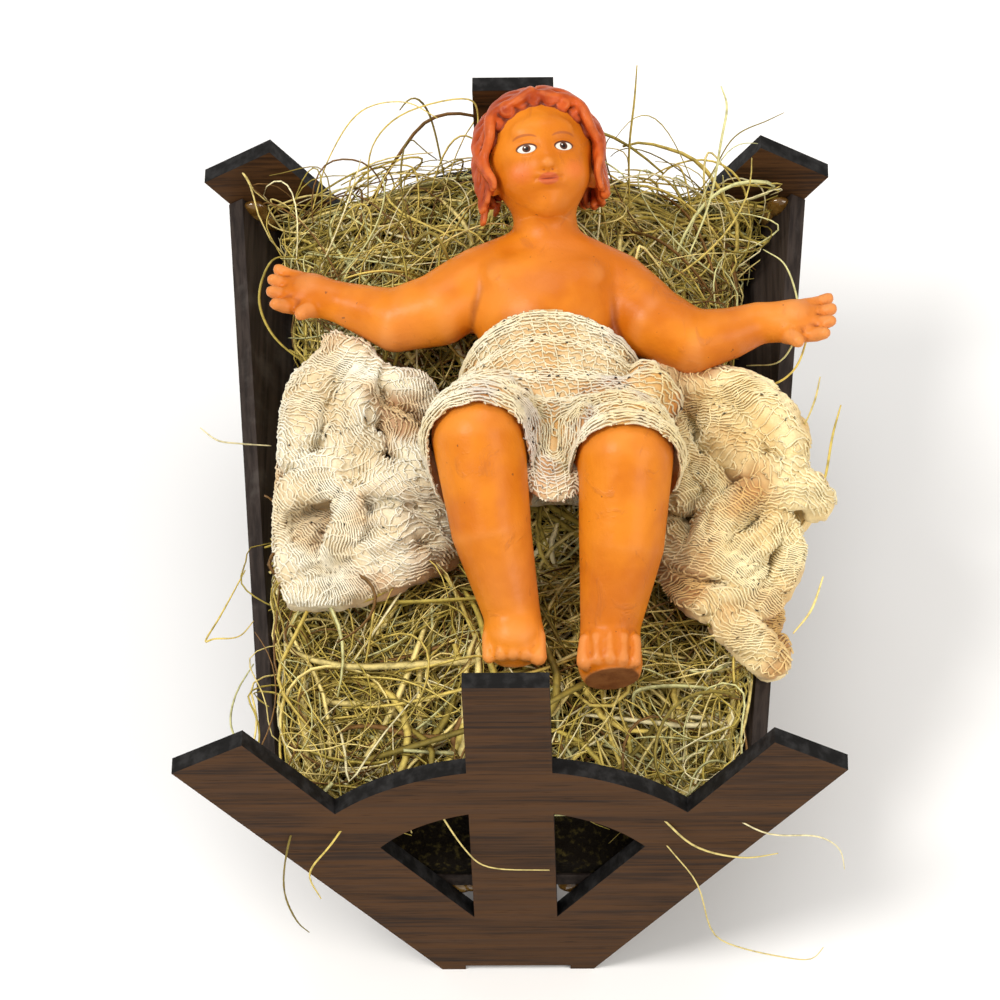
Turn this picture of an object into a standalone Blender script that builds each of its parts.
"""Nativity baby lying in a small wooden crib: a painted clay figure with a gauze loincloth, on a bunched
gauze cloth and a bed of hay, between two cut-out end panels. Metres, +Z up, the head end towards +Y."""

import math

import bmesh
import bpy
import numpy as np
from mathutils import Matrix, Vector
from mathutils.bvhtree import BVHTree

# Crib, cut from one thickness of wooden sheet
CRIB_LENGTH = 0.1275
CRIB_WIDTH = 0.110
POST_HEIGHT = 0.086
POST_WIDTH = 0.014
SHEET = 0.003
ARM_WIDTH = 0.0145
ARM_SLOPE = math.radians(55.8)
FOOT_HALF = 0.013
FOOT_LENGTH = 0.004
FOOT_RELIEF = 0.0012
ARCH_CENTRE_Z = 0.0225
ARCH_OUTER = 0.0395
ARCH_BAND = 0.012
ARCH_STEPS = 14
ARM_TIP_Z = (CRIB_WIDTH / 2 - FOOT_HALF) * math.tan(ARM_SLOPE)
BOARD_LOW_Z = 0.0205
BOARD_TOP_HEAD_Z = 0.906 * ARM_TIP_Z
BOARD_TOP_FOOT_Z = 0.6715 * ARM_TIP_Z
FLOOR_Z = 0.022
GAP = 0.0003

# Figure, in shares of its height as if it stood straight
FIGURE_HEIGHT = 0.115
FIGURE_X = 0.007
CROWN_GAP = 0.0015
BED_Z = 0.052
UNIT = FIGURE_HEIGHT / 115
CLOTH_THICK = 0.001
CLOTH_GAP = 0.0007
BARE_GROW = CLOTH_GAP / UNIT
CLOTH_GROW = (CLOTH_GAP + CLOTH_THICK) / UNIT
CROWN_REACH = 55.3
HEAD_TILT = math.radians(27)
HEAD_TURN = math.radians(8)
HEAD_ROLL = math.radians(6)
HEAD_SIZE = 0.94
HAND_SIZE = 1.12

# Hay bed
HAY_RISE_HEAD = 0.0135
HAY_RISE_FOOT = 0.012
HAY_EDGE_DROP = 0.007
HAY_CELLS_X = 20
HAY_CELLS_Y = 25
HAY_PRESS_GAP = 0.0006

# Mesh density of the soft and carved pieces
FIGURE_VOXEL = 0.00058
FIGURE_KEEP = 0.046
CLOTH_VOXEL = 0.0011
SHELL_KEEP = 0.042
BARE_KEEP = 0.1
LUMP_KEEP = 0.055

INNER_Y = CRIB_LENGTH / 2 - SHEET
SEAT = Vector((FIGURE_X, INNER_Y - CROWN_GAP - CROWN_REACH * UNIT, BED_Z))


def clear_scene():
    """Removes every object, so that the script can run again."""
    for obj in list(bpy.data.objects):
        bpy.data.objects.remove(obj, do_unlink=True)


def collection(name, hidden=False):
    """A collection for the parts, or for the cutters, which no render shows."""
    made = bpy.data.collections.new(name)
    bpy.context.scene.collection.children.link(made)
    made.hide_render = hidden
    return made


def material(name, colour, roughness):
    """A plain Principled material."""
    made = bpy.data.materials.new(name)
    made.use_nodes = True
    shader = made.node_tree.nodes["Principled BSDF"]
    shader.inputs["Base Color"].default_value = (*colour, 1.0)
    shader.inputs["Roughness"].default_value = roughness
    shader.inputs["Metallic"].default_value = 0.0
    return made


def outer_line_x(z):
    """Distance from the middle to an arm's outer lower edge at height z."""
    return FOOT_HALF + z / math.tan(ARM_SLOPE)


def board_inner_x(z):
    """Distance from the middle to a side board's inner face at height z."""
    return outer_line_x(z) - SHEET / math.sin(ARM_SLOPE)


def board_top_z(y):
    """Height of a side board's top edge at y: it rises towards the head end."""
    share = (y + INNER_Y) / (2 * INNER_Y)
    return BOARD_TOP_FOOT_Z + share * (BOARD_TOP_HEAD_Z - BOARD_TOP_FOOT_Z)


def arm_inner_z(x):
    """Height of an arm's inner upper edge at x."""
    return (x - FOOT_HALF) * math.tan(ARM_SLOPE) + ARM_WIDTH / math.cos(ARM_SLOPE)


def arc_meets_arm(radius):
    """The x at which a circle about the arch's centre crosses the arm's inner edge, on the outer side."""
    slope = math.tan(ARM_SLOPE)
    rise = arm_inner_z(0) - ARCH_CENTRE_Z
    a = 1 + slope * slope
    b = 2 * slope * rise
    c = rise * rise - radius * radius
    return (-b + math.sqrt(b * b - 4 * a * c)) / (2 * a)


def arch_points(radius, start_x, end_x):
    """Points of the arch's circle from start_x to end_x, evenly spaced by angle."""
    first = math.asin(start_x / radius)
    last = math.asin(end_x / radius)
    points = []
    for step in range(ARCH_STEPS + 1):
        angle = first + (last - first) * step / ARCH_STEPS
        points.append((radius * math.sin(angle), ARCH_CENTRE_Z + radius * math.cos(angle)))
    return points


def panel_outline():
    """The right half of an end panel's outline, from the top of the post down to the foot, then mirrored."""
    tip_x = CRIB_WIDTH / 2
    tip_z = (tip_x - FOOT_HALF) * math.tan(ARM_SLOPE)
    half = [(POST_WIDTH / 2, POST_HEIGHT)]
    half += arch_points(ARCH_OUTER, POST_WIDTH / 2, arc_meets_arm(ARCH_OUTER))
    half.append((tip_x - ARM_WIDTH * math.sin(ARM_SLOPE), tip_z + ARM_WIDTH * math.cos(ARM_SLOPE)))
    half.append((tip_x, tip_z))
    half.append((FOOT_HALF, 0.0))
    half.append((FOOT_HALF - FOOT_LENGTH, 0.0))
    half.append((FOOT_HALF - FOOT_LENGTH, FOOT_RELIEF))
    return half + [(-x, z) for x, z in reversed(half)]


def panel_hole(side):
    """The opening between post, arch and arm: an arch's arc on top and the arm's edge below."""
    radius = ARCH_OUTER - ARCH_BAND
    start = POST_WIDTH / 2
    points = arch_points(radius, start, arc_meets_arm(radius))
    points.append((start, arm_inner_z(start)))
    return [(side * x, z) for x, z in points]


def flat_piece(name, outlines, thickness, where):
    """A sheet cut to flat outlines: the first is the edge, the others are holes."""
    data = bpy.data.curves.new(name, "CURVE")
    data.dimensions = "2D"
    data.fill_mode = "BOTH"
    data.extrude = thickness / 2
    for outline in outlines:
        spline = data.splines.new("POLY")
        spline.points.add(len(outline) - 1)
        for point, (u, v) in zip(spline.points, outline):
            point.co = (u, v, 0.0, 1.0)
        spline.use_cyclic_u = True
    obj = bpy.data.objects.new(name, data)
    where.objects.link(obj)
    return obj


def end_panel(name, y, where, look):
    """One end of the crib, standing across its length with its middle plane at y."""
    outlines = [panel_outline(), panel_hole(1), panel_hole(-1)]
    panel = flat_piece(name, outlines, SHEET, where)
    panel.rotation_euler = (math.pi / 2, 0.0, 0.0)
    panel.location = (0.0, y, 0.0)
    panel.data.materials.append(look)
    return panel


def side_board(name, side, grow, where):
    """A board leaning along the arms, its outer face flush with them. grow adds to all its sides."""
    sine = math.sin(ARM_SLOPE)
    reach = INNER_Y - GAP + grow
    low = BOARD_LOW_Z / sine - grow
    head = BOARD_TOP_HEAD_Z / sine + grow
    foot = BOARD_TOP_FOOT_Z / sine + grow
    outline = [(-reach, low), (reach, low), (reach, head), (-reach, foot)]
    board = flat_piece(name, [outline], SHEET + 2 * grow, where)
    along = Vector((0.0, 1.0, 0.0))
    up = Vector((side * math.cos(ARM_SLOPE), 0.0, sine))
    normal = along.cross(up)
    turn = Matrix((along, up, normal)).transposed().to_4x4()
    inwards = normal if normal.x * side < 0 else -normal
    foot_point = Vector((side * FOOT_HALF, 0.0, 0.0)) + inwards * (SHEET / 2)
    board.matrix_world = Matrix.Translation(foot_point) @ turn
    return board


def box(name, size, where):
    """A box about its own middle."""
    data = bpy.data.meshes.new(name)
    solid = bmesh.new()
    bmesh.ops.create_cube(solid, size=1.0)
    bmesh.ops.scale(solid, vec=size, verts=solid.verts)
    solid.to_mesh(data)
    solid.free()
    obj = bpy.data.objects.new(name, data)
    where.objects.link(obj)
    return obj


def floor_board(where, look):
    """The board that the hay lies on, between the side boards."""
    half = board_inner_x(FLOOR_Z) - GAP
    board = box("floor_board", (2 * half, 2 * (INNER_Y - GAP), SHEET), where)
    board.location = (0.0, 0.0, FLOOR_Z + SHEET / 2)
    board.data.materials.append(look)
    return board


def body_place(point):
    """A point in the figure's own units, counted from its seat, in metres."""
    return SEAT + Vector(point) * UNIT


def head_frame():
    """Turns the head's own axes, sideways, up to the crown and out of the face, into the figure's."""
    tilt = Matrix.Rotation(HEAD_TILT, 3, "X")
    turn = Matrix.Rotation(HEAD_TURN, 3, "Y")
    roll = Matrix.Rotation(HEAD_ROLL, 3, "Z")
    return tilt @ turn @ roll


def head_place(point):
    """A point of the head in the figure's own units."""
    return Vector(BODY["head"]) + head_frame() @ Vector(point) * HEAD_SIZE


# Joints of the figure in its own units: sideways, towards the crown, and up, from the seat
BODY = {
    "pelvis": (0.0, 2.0, 12.0),
    "hip_left": (-8.0, 1.0, 12.0),
    "hip_right": (8.0, -0.5, 12.0),
    "belly": (-0.4, 9.5, 15.2),
    "chest": (-1.2, 20.5, 19.3),
    "shoulder_left": (-12.4, 25.6, 20.6),
    "shoulder_right": (10.6, 24.6, 20.0),
    "throat": (-1.0, 30.5, 23.0),
    "nape": (-1.7, 37.0, 27.4),
    "head": (-2.3, 42.7, 32.0),
    "arm_left": (-19.6, 20.4, 19.4),
    "elbow_left": (-27.0, 19.2, 18.0),
    "forearm_left": (-32.3, 21.4, 18.0),
    "wrist_left": (-36.6, 23.0, 18.2),
    "palm_left": (-41.4, 24.2, 18.8),
    "arm_right": (16.6, 17.6, 19.2),
    "elbow_right": (23.4, 14.0, 18.0),
    "forearm_right": (30.0, 15.8, 18.0),
    "wrist_right": (34.8, 17.8, 18.2),
    "palm_right": (40.4, 17.5, 19.0),
    "knee_left": (-12.3, -11.3, 25.5),
    "calf_left": (-10.2, -24.5, 17.0),
    "ankle_left": (-6.8, -35.2, 7.4),
    "ball_left": (-6.6, -38.6, 6.0),
    "knee_right": (12.3, -15.0, 25.0),
    "calf_right": (11.4, -27.0, 16.0),
    "ankle_right": (9.4, -37.6, 7.4),
    "ball_right": (9.4, -43.2, 4.8),
}
LIMBS = [
    (("throat", 6.6), ("nape", 6.2)),
    (("throat", 6.2), ("shoulder_left", 6.1)),
    (("throat", 6.2), ("shoulder_right", 6.1)),
    (("shoulder_left", 6.1), ("arm_left", 6.3), ("elbow_left", 5.5), ("forearm_left", 4.4)),
    (("forearm_left", 4.4), ("wrist_left", 3.6), ("palm_left", 3.3)),
    (("shoulder_right", 6.1), ("arm_right", 6.3), ("elbow_right", 5.5), ("forearm_right", 4.4)),
    (("forearm_right", 4.4), ("wrist_right", 3.6), ("palm_right", 3.3)),
    (("calf_left", 6.7), ("ankle_left", 4.7), ("ball_left", 4.9)),
    (("calf_right", 7.1), ("ankle_right", 5.0), ("ball_right", 5.2)),
]
THIGHS = [
    (("hip_left", 9.4), ("knee_left", 7.8), ("calf_left", 6.7)),
    (("hip_right", 9.4), ("knee_right", 7.9), ("calf_right", 7.1)),
]
HIPS = [
    ("pelvis", (14.5, 10.5, 10.2)),
    ("belly", (13.6, 11.5, 10.4)),
]
CHEST_SIZE = (13.3, 11.6, 9.2)
BEAD_STEP = 0.3


def add_ball(balls, centre, size, turn=None, fine=16):
    """Adds an ellipsoid of these three half sizes to the list: its matrix and its number of sides."""
    place = Matrix.Translation(body_place(centre))
    if turn is not None:
        place = place @ turn.to_4x4()
    stretch = Matrix.Diagonal((*(UNIT * s for s in size), 1.0))
    balls.append((place @ stretch, fine))


def add_limb(balls, stations, grow=0.0, fine=14):
    """Adds a tapering limb: balls close together from station to station, each a point and a radius."""
    for (start, wide), (end, narrow) in zip(stations, stations[1:]):
        start, end = Vector(start), Vector(end)
        count = max(2, math.ceil((end - start).length / (BEAD_STEP * min(wide, narrow))))
        for step in range(count + 1):
            share = step / count
            radius = wide + (narrow - wide) * share + grow
            add_ball(balls, start.lerp(end, share), (radius,) * 3, fine=fine)


def joints(names):
    """Named stations as points with their radii."""
    return [(BODY[name], radius) for name, radius in names]


def add_hips(balls, grow, stations_used=3):
    """The pelvis, the belly and the legs down to the calves, or down to the knees alone."""
    for name, size in HIPS:
        add_ball(balls, BODY[name], [s + grow for s in size], fine=24)
    for stations in THIGHS:
        add_limb(balls, joints(stations[:stations_used]), grow)


def add_hand(balls, palm, outwards, thumb_side):
    """A flat palm, four short fingers spread like a fan and a thumb."""
    palm, outwards = Vector(palm), Vector(outwards).normalized()
    across = outwards.cross(Vector((0.0, 0.0, 1.0))).normalized() * thumb_side
    lift = across.cross(outwards) * thumb_side
    size = HAND_SIZE
    add_ball(balls, palm + outwards * 0.8 * size, (3.9 * size, 3.5 * size, 2.6 * size))
    for number in range(4):
        spread = (number - 1.5) * 0.23
        way = (outwards + across * spread + lift * 0.12 * number).normalized()
        root = palm + (outwards * 2.2 + across * (number - 1.5) * 1.75) * size
        length = (3.9 - abs(number - 1.6) * 0.5) * size
        add_limb(balls, [(root, 1.4 * size), (root + way * length, 1.1 * size)], fine=10)
    root = palm + (across * 2.4 - outwards * 0.4) * size
    tip = root + (across * 2.6 + outwards * 1.9 + lift * 1.4) * size
    add_limb(balls, [(root, 1.5 * size), (tip, 1.15 * size)], fine=10)


def add_foot(balls, ball, heel, side):
    """A short foot with five toes along its upper edge."""
    ball, heel = Vector(ball), Vector(heel)
    add_ball(balls, ball, (5.2, 4.2, 5.0), fine=16)
    for number in range(5):
        place = ball + Vector(((number - 2) * 2.0, -2.6, 3.0 - 0.28 * (number - 2) ** 2))
        add_ball(balls, place, (1.25, 1.6, 1.35 if side * (number - 2) > -2 else 1.6), fine=10)
    add_ball(balls, heel, (4.4, 4.0, 4.4), fine=14)


def add_head(balls):
    """A round baby's head with full cheeks, a small nose and chin, ears and combed locks of hair."""
    turn = head_frame()
    features = [
        ((0.0, 1.8, -1.4), (9.9, 10.2, 10.0)),
        ((0.0, -2.0, 0.9), (8.5, 9.4, 8.9)),
        ((4.0, -4.2, 4.6), (4.2, 4.2, 4.0)),
        ((-4.0, -4.2, 4.6), (4.2, 4.2, 4.0)),
        ((0.0, -8.8, 4.6), (3.1, 2.8, 3.2)),
        ((0.0, -2.3, 9.2), (1.5, 1.3, 1.7)),
        ((0.0, 0.4, 8.6), (1.1, 2.2, 1.2)),
        ((0.0, -5.4, 8.2), (2.3, 1.3, 1.4)),
        ((0.0, 2.6, -3.6), (11.0, 10.4, 9.8)),
        ((9.4, -3.0, 0.4), (1.5, 2.6, 2.0)),
        ((-9.4, -3.0, 0.4), (1.5, 2.6, 2.0)),
    ]
    for centre, size in features:
        add_ball(balls, head_place(centre), [s * HEAD_SIZE for s in size], turn, fine=20)
    for side in (-1, 1):
        for row, depth in enumerate((3.6, 0.2, -3.4, -7.0)):
            lock = []
            shell = math.sqrt(max(0.0, 1 - (depth / 12.5) ** 2))
            for step in range(9):
                share = step / 8
                angle = math.radians(8 + 132 * share)
                wave = 0.75 * math.sin(share * 13 + row * 1.9)
                around = 11.0 * shell + 0.35 + 0.35 * math.cos(share * 13 + row)
                point = (side * around * math.sin(angle), 1.2 + around * math.cos(angle), depth + wave)
                lock.append((head_place(point), 1.75 - 0.45 * abs(2 * share - 1)))
            add_limb(balls, lock, fine=10)
    for x, up, out, radius in ((-4.4, 9.6, 4.6, 1.8), (-1.0, 10.8, 4.2, 1.7), (3.0, 10.2, 4.4, 1.7)):
        add_ball(balls, head_place((x, up, out)), (radius,) * 3, fine=12)


def unit_ball(fine):
    """A sphere of radius 1 with this many sides: its points and its faces."""
    mesh = bmesh.new()
    bmesh.ops.create_uvsphere(mesh, u_segments=fine, v_segments=fine // 2, radius=1.0)
    points = np.array([vert.co for vert in mesh.verts])
    faces = [[vert.index for vert in face.verts] for face in mesh.faces]
    mesh.free()
    return points, faces


def joined_balls(name, balls):
    """One mesh of all the balls, each the unit sphere placed by its own matrix."""
    kinds = {fine: unit_ball(fine) for _, fine in balls}
    points, faces, count = [], [], 0
    for place, fine in balls:
        shape, sides = kinds[fine]
        matrix = np.array(place)
        points.append(shape @ matrix[:3, :3].T + matrix[:3, 3])
        faces += [[count + index for index in side] for side in sides]
        count += len(shape)
    data = bpy.data.meshes.new(name)
    data.from_pydata(np.concatenate(points).tolist(), [], faces)
    return data


def soft_object(name, build, voxel, keep, where, smooth=6):
    """Balls made one skin: remeshed, smoothed and thinned out to the share of faces kept."""
    balls = []
    build(balls)
    data = joined_balls(name, balls)
    obj = bpy.data.objects.new(name, data)
    where.objects.link(obj)
    skin = obj.modifiers.new("Skin", "REMESH")
    skin.mode = "VOXEL"
    skin.voxel_size = voxel
    soften = obj.modifiers.new("Soften", "SMOOTH")
    soften.factor = 0.5
    soften.iterations = smooth
    thin = obj.modifiers.new("Thin", "DECIMATE")
    thin.ratio = keep
    return obj


def cut(obj, cutter, operation="DIFFERENCE"):
    """Cuts the object with a hidden cutter."""
    cutter.display_type = "WIRE"
    cutter.hide_render = True
    made = obj.modifiers.new("Cut_" + cutter.name, "BOOLEAN")
    made.operation = operation
    made.solver = "EXACT"
    made.object = cutter


def plane_cutter(name, point, normal, size, where):
    """A box whose one face lies through the point, on the side that the normal points to."""
    normal = Vector(normal).normalized()
    cutter = box(name, size, where)
    turn = normal.to_track_quat("Z", "Y").to_matrix().to_4x4()
    middle = body_place(point) + normal * size[2] / 2
    cutter.matrix_world = Matrix.Translation(middle) @ turn
    return cutter


SOLES = {
    "left": ((-6.6, -41.2, 5.2), (0.06, -0.92, -0.38)),
    "right": ((9.6, -45.6, 4.6), (0.06, -0.97, -0.20)),
}


def add_figure(balls):
    """The whole figure: trunk, limbs, head, hands and feet."""
    add_hips(balls, 0.0)
    add_ball(balls, BODY["chest"], CHEST_SIZE, fine=24)
    add_limb(balls, [(BODY["shoulder_left"], 6.1), (BODY["chest"], 8.0)])
    add_limb(balls, [(BODY["shoulder_right"], 6.1), (BODY["chest"], 8.0)])
    add_limb(balls, [(BODY["throat"], 7.0), (BODY["chest"], 8.6)])
    for stations in LIMBS:
        add_limb(balls, joints(stations))
    add_hand(balls, BODY["palm_left"], (-1.0, 0.06, 0.18), -1)
    add_hand(balls, BODY["palm_right"], (1.0, -0.06, 0.18), 1)
    add_foot(balls, BODY["ball_left"], (-6.4, -38.4, 3.4), -1)
    add_foot(balls, BODY["ball_right"], (9.6, -41.0, 2.6), 1)
    add_head(balls)


def figure(where, cutters, look):
    """The clay baby in one piece, its soles ground flat."""
    made = soft_object("figure", add_figure, FIGURE_VOXEL, FIGURE_KEEP, where, smooth=5)
    for side, (point, normal) in SOLES.items():
        cut(made, plane_cutter("sole_" + side, point, normal, (0.020, 0.020, 0.012), cutters))
    made.data.materials.append(look)
    return made


def add_cloth_lobes(balls, grow):
    """The rounded tongue between the legs, the knot at the hip and the fold beside the other hip."""
    for centre, size in (
        ((0.2, -10.5, 20.0), (6.0, 9.6, 3.2)),
        ((0.0, -3.0, 20.0), (8.5, 7.0, 4.2)),
        ((16.2, 1.5, 19.0), (4.0, 4.6, 3.8)),
        ((-15.6, -4.0, 17.5), (3.4, 5.4, 5.0)),
    ):
        add_ball(balls, centre, [s + grow for s in size])


def add_loincloth(balls):
    """The hips and thighs grown by the gap and the cloth's thickness, and its lobes."""
    add_hips(balls, CLOTH_GROW, stations_used=2)
    add_cloth_lobes(balls, 0.0)


def add_bare_body(balls):
    """The covered part of the figure grown by the gap that the cloth keeps."""
    add_hips(balls, BARE_GROW)
    add_ball(balls, BODY["chest"], [s + BARE_GROW for s in CHEST_SIZE], fine=24)
    for stations in LIMBS:
        add_limb(balls, joints(stations), BARE_GROW)


def add_dressed_body(balls):
    """The figure with its loincloth, grown so that what lies round it stays clear."""
    add_hips(balls, CLOTH_GROW + 0.9)
    add_cloth_lobes(balls, 0.9)
    for stations in LIMBS:
        add_limb(balls, joints(stations), 0.9)


def loincloth(where, cutters, look):
    """The gauze wrapped round the hips: open at the waist and at both legs."""
    made = soft_object("loincloth", add_loincloth, CLOTH_VOXEL, SHELL_KEEP, where)
    cut(made, plane_cutter("waist", (-1.3, 15.2, 25.0), (0.0, 0.96, -0.28), (0.08, 0.08, 0.05), cutters))
    for side, x, y, z in (("left", -23.0, -8.5, 32.0), ("right", 23.0, -12.4, 31.5)):
        cutter = plane_cutter("leg_" + side, (x, y, z), (0.0, -0.89, 0.44), (0.0385, 0.08, 0.04), cutters)
        cut(made, cutter)
    bare = soft_object("bare_body", add_bare_body, CLOTH_VOXEL, BARE_KEEP, cutters, smooth=2)
    cut(made, bare)
    made.data.materials.append(look)
    return made


LUMPS = [
    ((-35.0, 9.5, 8.4), 8.4),
    ((-27.5, 7.5, 8.6), 8.0),
    ((-36.5, -1.5, 6.4), 10.2),
    ((-37.0, -12.5, 4.6), 9.6),
    ((-27.0, -9.0, 5.4), 9.6),
    ((-30.0, -19.0, 2.6), 7.6),
    ((23.0, 9.0, 7.6), 7.6),
    ((30.0, 6.5, 7.0), 7.4),
    ((33.0, 0.5, 6.0), 9.8),
    ((35.6, -9.0, 4.8), 9.8),
    ((29.5, -19.5, 3.6), 9.2),
    ((32.0, -30.5, 0.0), 6.8),
    ((36.0, -37.5, -2.0), 4.2),
    ((24.5, -8.0, 4.6), 9.0),
]


def add_swaddling(balls):
    """Two heaps of bunched cloth joined by the strip that the baby lies on."""
    for centre, radius in LUMPS:
        add_ball(balls, centre, (radius * 1.05, radius * 1.05, radius * 0.86), fine=20)
    add_ball(balls, (-1.0, -5.0, -5.0), (31.0, 12.0, 3.6), fine=28)


def swaddling_cloth(where, cutters, look):
    """The bunched cloth, clear of the body above it and draped over the side boards."""
    made = soft_object("swaddling_cloth", add_swaddling, CLOTH_VOXEL, LUMP_KEEP, where)
    cut(made, soft_object("dressed_body", add_dressed_body, CLOTH_VOXEL, BARE_KEEP, cutters))
    for name, side in (("left", -1), ("right", 1)):
        space = side_board("board_space_" + name, side, GAP, cutters)
        solid = bpy.data.meshes.new_from_object(space)
        place = space.matrix_world.copy()
        bpy.data.objects.remove(space, do_unlink=True)
        space = bpy.data.objects.new("board_space_" + name, solid)
        space.matrix_world = place
        cutters.objects.link(space)
        weld = space.modifiers.new("Weld", "WELD")
        weld.merge_threshold = 0.00001
        cut(made, space)
    made.data.materials.append(look)
    return made


def hay_height(across, y):
    """Height of the loose hay's surface: domed across the crib and rising to the head end."""
    share = (y + INNER_Y) / (2 * INNER_Y)
    rise = HAY_RISE_FOOT + share * (HAY_RISE_HEAD - HAY_RISE_FOOT)
    ripple = 0.0007 * math.sin(across * 9 + y * 310) * math.cos(y * 190)
    return board_top_z(y) - HAY_EDGE_DROP + rise * (1 - across * across) + ripple


def pressed_height(x, y, z, trees, reach):
    """The height z of the hay at x and y, or less where something lies on it within the reach."""
    for shift_x in (-1, 0, 1):
        for shift_y in (-1, 0, 1):
            start = Vector((x + shift_x * reach, y + shift_y * reach, FLOOR_Z + SHEET))
            for tree in trees:
                hit = tree.ray_cast(start, Vector((0.0, 0.0, 1.0)))[0]
                if hit is not None:
                    z = min(z, hit.z - HAY_PRESS_GAP)
    return z


def hay_row(y, trees, reach):
    """One row of the hay's surface across the crib, kept inside the leaning boards at its lowest edge."""
    edge = board_inner_x(board_top_z(y) - HAY_EDGE_DROP) - GAP
    spans = [2 * step / HAY_CELLS_X - 1 for step in range(HAY_CELLS_X + 1)]
    heights = [pressed_height(a * edge, y, hay_height(a, y), trees, reach) for a in spans]
    row = []
    for across, z in zip(spans, heights):
        beside = [h for a, h in zip(spans, heights) if a * across >= 0 and abs(a) > 0.6]
        half = min(edge, board_inner_x(min(beside)) - GAP)
        row.append(Vector((across * half, y, z)))
    return row


def hay(where, pressing, look):
    """The bed of hay: it fills the trough and is pressed down under all that lies on it."""
    graph = bpy.context.evaluated_depsgraph_get()
    trees = [BVHTree.FromObject(obj, graph) for obj in pressing]
    length = INNER_Y - GAP
    bottom = FLOOR_Z + SHEET + GAP
    reach = 2 * length / HAY_CELLS_Y
    rows = [hay_row(-length + step * reach, trees, reach) for step in range(HAY_CELLS_Y + 1)]
    mesh = bmesh.new()
    bmesh.ops.create_grid(mesh, x_segments=HAY_CELLS_X, y_segments=HAY_CELLS_Y, size=1.0)
    lifted = bmesh.ops.extrude_face_region(mesh, geom=mesh.faces[:])["geom"]
    top = {v for v in lifted if isinstance(v, bmesh.types.BMVert)}
    for vert in mesh.verts:
        across, along = vert.co.x, vert.co.y
        if vert in top:
            column = round((across + 1) * HAY_CELLS_X / 2)
            vert.co = rows[round((along + 1) * HAY_CELLS_Y / 2)][column]
        else:
            vert.co = (across * (board_inner_x(bottom) - GAP), along * length, bottom)
    floor_faces = [f for f in mesh.faces if all(v not in top for v in f.verts)]
    bmesh.ops.dissolve_faces(mesh, faces=floor_faces)
    bmesh.ops.recalc_face_normals(mesh, faces=mesh.faces[:])
    data = bpy.data.meshes.new("hay")
    mesh.to_mesh(data)
    mesh.free()
    made = bpy.data.objects.new("hay", data)
    where.objects.link(made)
    made.data.materials.append(look)
    return made


def main():
    clear_scene()
    where = collection("nativity_baby")
    cutters = collection("cutters", hidden=True)
    clay = material("painted_clay", (0.72, 0.30, 0.07), 0.42)
    gauze = material("cream_gauze", (0.80, 0.70, 0.48), 0.9)
    bunched = material("bunched_gauze", (0.82, 0.74, 0.55), 0.9)
    straw = material("dried_grass", (0.46, 0.40, 0.16), 0.8)
    panel_wood = material("stained_panel", (0.09, 0.045, 0.025), 0.5)
    board_wood = material("dark_board", (0.04, 0.028, 0.022), 0.55)
    end_panel("foot_panel", -(INNER_Y + SHEET / 2), where, panel_wood)
    end_panel("head_panel", INNER_Y + SHEET / 2, where, panel_wood)
    for name, side in (("left", -1), ("right", 1)):
        board = side_board("side_board_" + name, side, 0.0, where)
        board.data.materials.append(board_wood)
    floor_board(where, board_wood)
    baby = figure(where, cutters, clay)
    wrap = loincloth(where, cutters, gauze)
    heap = swaddling_cloth(where, cutters, bunched)
    bpy.context.view_layer.update()
    hay(where, [baby, wrap, heap], straw)


main()
